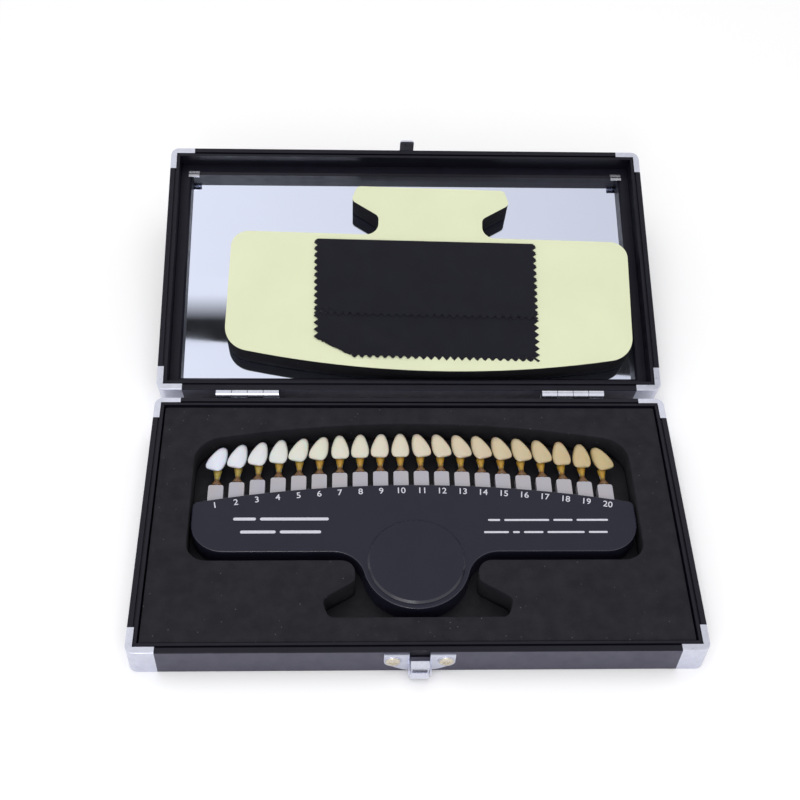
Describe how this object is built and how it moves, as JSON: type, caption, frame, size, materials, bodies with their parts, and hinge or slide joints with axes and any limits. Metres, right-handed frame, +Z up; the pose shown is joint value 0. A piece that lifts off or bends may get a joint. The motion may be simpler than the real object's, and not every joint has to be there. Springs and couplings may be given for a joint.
{
  "type": "dental shade guide",
  "caption": "Dental shade guide: tooth-shaped shade tabs in a black handle plate, laid in the foam of a slim black case that stands open, with a mirror, cut-out foam and a folded cloth in its lid.",
  "frame": {"origin": "middle of the case base's underside, on the surface it rests on", "axes": "+X along the case's long side, towards the right of someone at the latch; +Y from the latch towards the hinges; +Z up"},
  "size_m": [0.24, 0.2773, 0.0625],
  "materials": {
    "black_frame": "satin black anodised extrusion",
    "bright_plate": "bright nickel plated sheet",
    "dark_steel": "black painted sheet",
    "black_board": "black faced board",
    "charcoal_foam": "closed cell foam, fine grain",
    "release_paper": "pale yellow green release paper",
    "black_cloth": "fine napped microfibre",
    "mirror_glass": "silvered flat glass",
    "black_plastic": "satin blue black moulding",
    "tab_resin": "light grey block with an amber stem",
    "tooth_porcelain": "glazed tooth shades, from bluish white to yellow ivory"
  },
  "bodies": {
    "base": {"base_frame": "black_frame", "base_corners": "bright_plate", "base_panel": "black_board", "foam_insert": "charcoal_foam", "guide_plate": "black_plastic", "latch_plate": "bright_plate", "latch_pin": "bright_plate", "hinge_base_leaves": "bright_plate", "hinge_pins": "bright_plate"},
    "lid": {"hinge_lid_leaves": "bright_plate", "lid_frame": "black_frame", "lid_corners": "bright_plate", "lid_panel": "black_board", "lid_catch": "dark_steel", "mirror": "mirror_glass", "mirror_bezel": "black_board", "foam_blank": "charcoal_foam", "release_liner": "release_paper", "cleaning_cloth": "black_cloth"},
    "latch": {"latch_lever": "bright_plate"},
    "shade_01": {"tab_01": "tab_resin", "tooth_01": "tooth_porcelain"},
    "shade_02": {"tab_02": "tab_resin", "tooth_02": "tooth_porcelain"},
    "shade_03": {"tab_03": "tab_resin", "tooth_03": "tooth_porcelain"},
    "shade_04": {"tab_04": "tab_resin", "tooth_04": "tooth_porcelain"},
    "shade_05": {"tab_05": "tab_resin", "tooth_05": "tooth_porcelain"},
    "shade_06": {"tab_06": "tab_resin", "tooth_06": "tooth_porcelain"},
    "shade_07": {"tab_07": "tab_resin", "tooth_07": "tooth_porcelain"},
    "shade_08": {"tab_08": "tab_resin", "tooth_08": "tooth_porcelain"},
    "shade_09": {"tab_09": "tab_resin", "tooth_09": "tooth_porcelain"},
    "shade_10": {"tab_10": "tab_resin", "tooth_10": "tooth_porcelain"},
    "shade_11": {"tab_11": "tab_resin", "tooth_11": "tooth_porcelain"},
    "shade_12": {"tab_12": "tab_resin", "tooth_12": "tooth_porcelain"},
    "shade_13": {"tab_13": "tab_resin", "tooth_13": "tooth_porcelain"},
    "shade_14": {"tab_14": "tab_resin", "tooth_14": "tooth_porcelain"},
    "shade_15": {"tab_15": "tab_resin", "tooth_15": "tooth_porcelain"},
    "shade_16": {"tab_16": "tab_resin", "tooth_16": "tooth_porcelain"},
    "shade_17": {"tab_17": "tab_resin", "tooth_17": "tooth_porcelain"},
    "shade_18": {"tab_18": "tab_resin", "tooth_18": "tooth_porcelain"},
    "shade_19": {"tab_19": "tab_resin", "tooth_19": "tooth_porcelain"},
    "shade_20": {"tab_20": "tab_resin", "tooth_20": "tooth_porcelain"}
  },
  "joints": [
    {"name": "lid_hinge", "type": "hinge", "parent": "base", "child": "lid", "pos_m": [0, 0.0691, 0.0162], "axis": [1, 0, 0], "range_deg": [0, 163.3]},
    {"name": "latch_hinge", "type": "hinge", "parent": "base", "child": "latch", "pos_m": [0, -0.06955, 0.0062], "axis": [1, 0, 0], "range_deg": [-15, 35]},
    {"name": "shade_01_slide", "type": "slide", "parent": "base", "child": "shade_01", "axis": [0, 1, 0], "range_m": [0, 0.002]},
    {"name": "shade_02_slide", "type": "slide", "parent": "base", "child": "shade_02", "axis": [0, 1, 0], "range_m": [0, 0.002]},
    {"name": "shade_03_slide", "type": "slide", "parent": "base", "child": "shade_03", "axis": [0, 1, 0], "range_m": [0, 0.002]},
    {"name": "shade_04_slide", "type": "slide", "parent": "base", "child": "shade_04", "axis": [0, 1, 0], "range_m": [0, 0.002]},
    {"name": "shade_05_slide", "type": "slide", "parent": "base", "child": "shade_05", "axis": [0, 1, 0], "range_m": [0, 0.002]},
    {"name": "shade_06_slide", "type": "slide", "parent": "base", "child": "shade_06", "axis": [0, 1, 0], "range_m": [0, 0.002]},
    {"name": "shade_07_slide", "type": "slide", "parent": "base", "child": "shade_07", "axis": [0, 1, 0], "range_m": [0, 0.002]},
    {"name": "shade_08_slide", "type": "slide", "parent": "base", "child": "shade_08", "axis": [0, 1, 0], "range_m": [0, 0.002]},
    {"name": "shade_09_slide", "type": "slide", "parent": "base", "child": "shade_09", "axis": [0, 1, 0], "range_m": [0, 0.002]},
    {"name": "shade_10_slide", "type": "slide", "parent": "base", "child": "shade_10", "axis": [0, 1, 0], "range_m": [0, 0.002]},
    {"name": "shade_11_slide", "type": "slide", "parent": "base", "child": "shade_11", "axis": [0, 1, 0], "range_m": [0, 0.002]},
    {"name": "shade_12_slide", "type": "slide", "parent": "base", "child": "shade_12", "axis": [0, 1, 0], "range_m": [0, 0.002]},
    {"name": "shade_13_slide", "type": "slide", "parent": "base", "child": "shade_13", "axis": [0, 1, 0], "range_m": [0, 0.002]},
    {"name": "shade_14_slide", "type": "slide", "parent": "base", "child": "shade_14", "axis": [0, 1, 0], "range_m": [0, 0.002]},
    {"name": "shade_15_slide", "type": "slide", "parent": "base", "child": "shade_15", "axis": [0, 1, 0], "range_m": [0, 0.002]},
    {"name": "shade_16_slide", "type": "slide", "parent": "base", "child": "shade_16", "axis": [0, 1, 0], "range_m": [0, 0.002]},
    {"name": "shade_17_slide", "type": "slide", "parent": "base", "child": "shade_17", "axis": [0, 1, 0], "range_m": [0, 0.002]},
    {"name": "shade_18_slide", "type": "slide", "parent": "base", "child": "shade_18", "axis": [0, 1, 0], "range_m": [0, 0.002]},
    {"name": "shade_19_slide", "type": "slide", "parent": "base", "child": "shade_19", "axis": [0, 1, 0], "range_m": [0, 0.002]},
    {"name": "shade_20_slide", "type": "slide", "parent": "base", "child": "shade_20", "axis": [0, 1, 0], "range_m": [0, 0.002]}
  ]
}
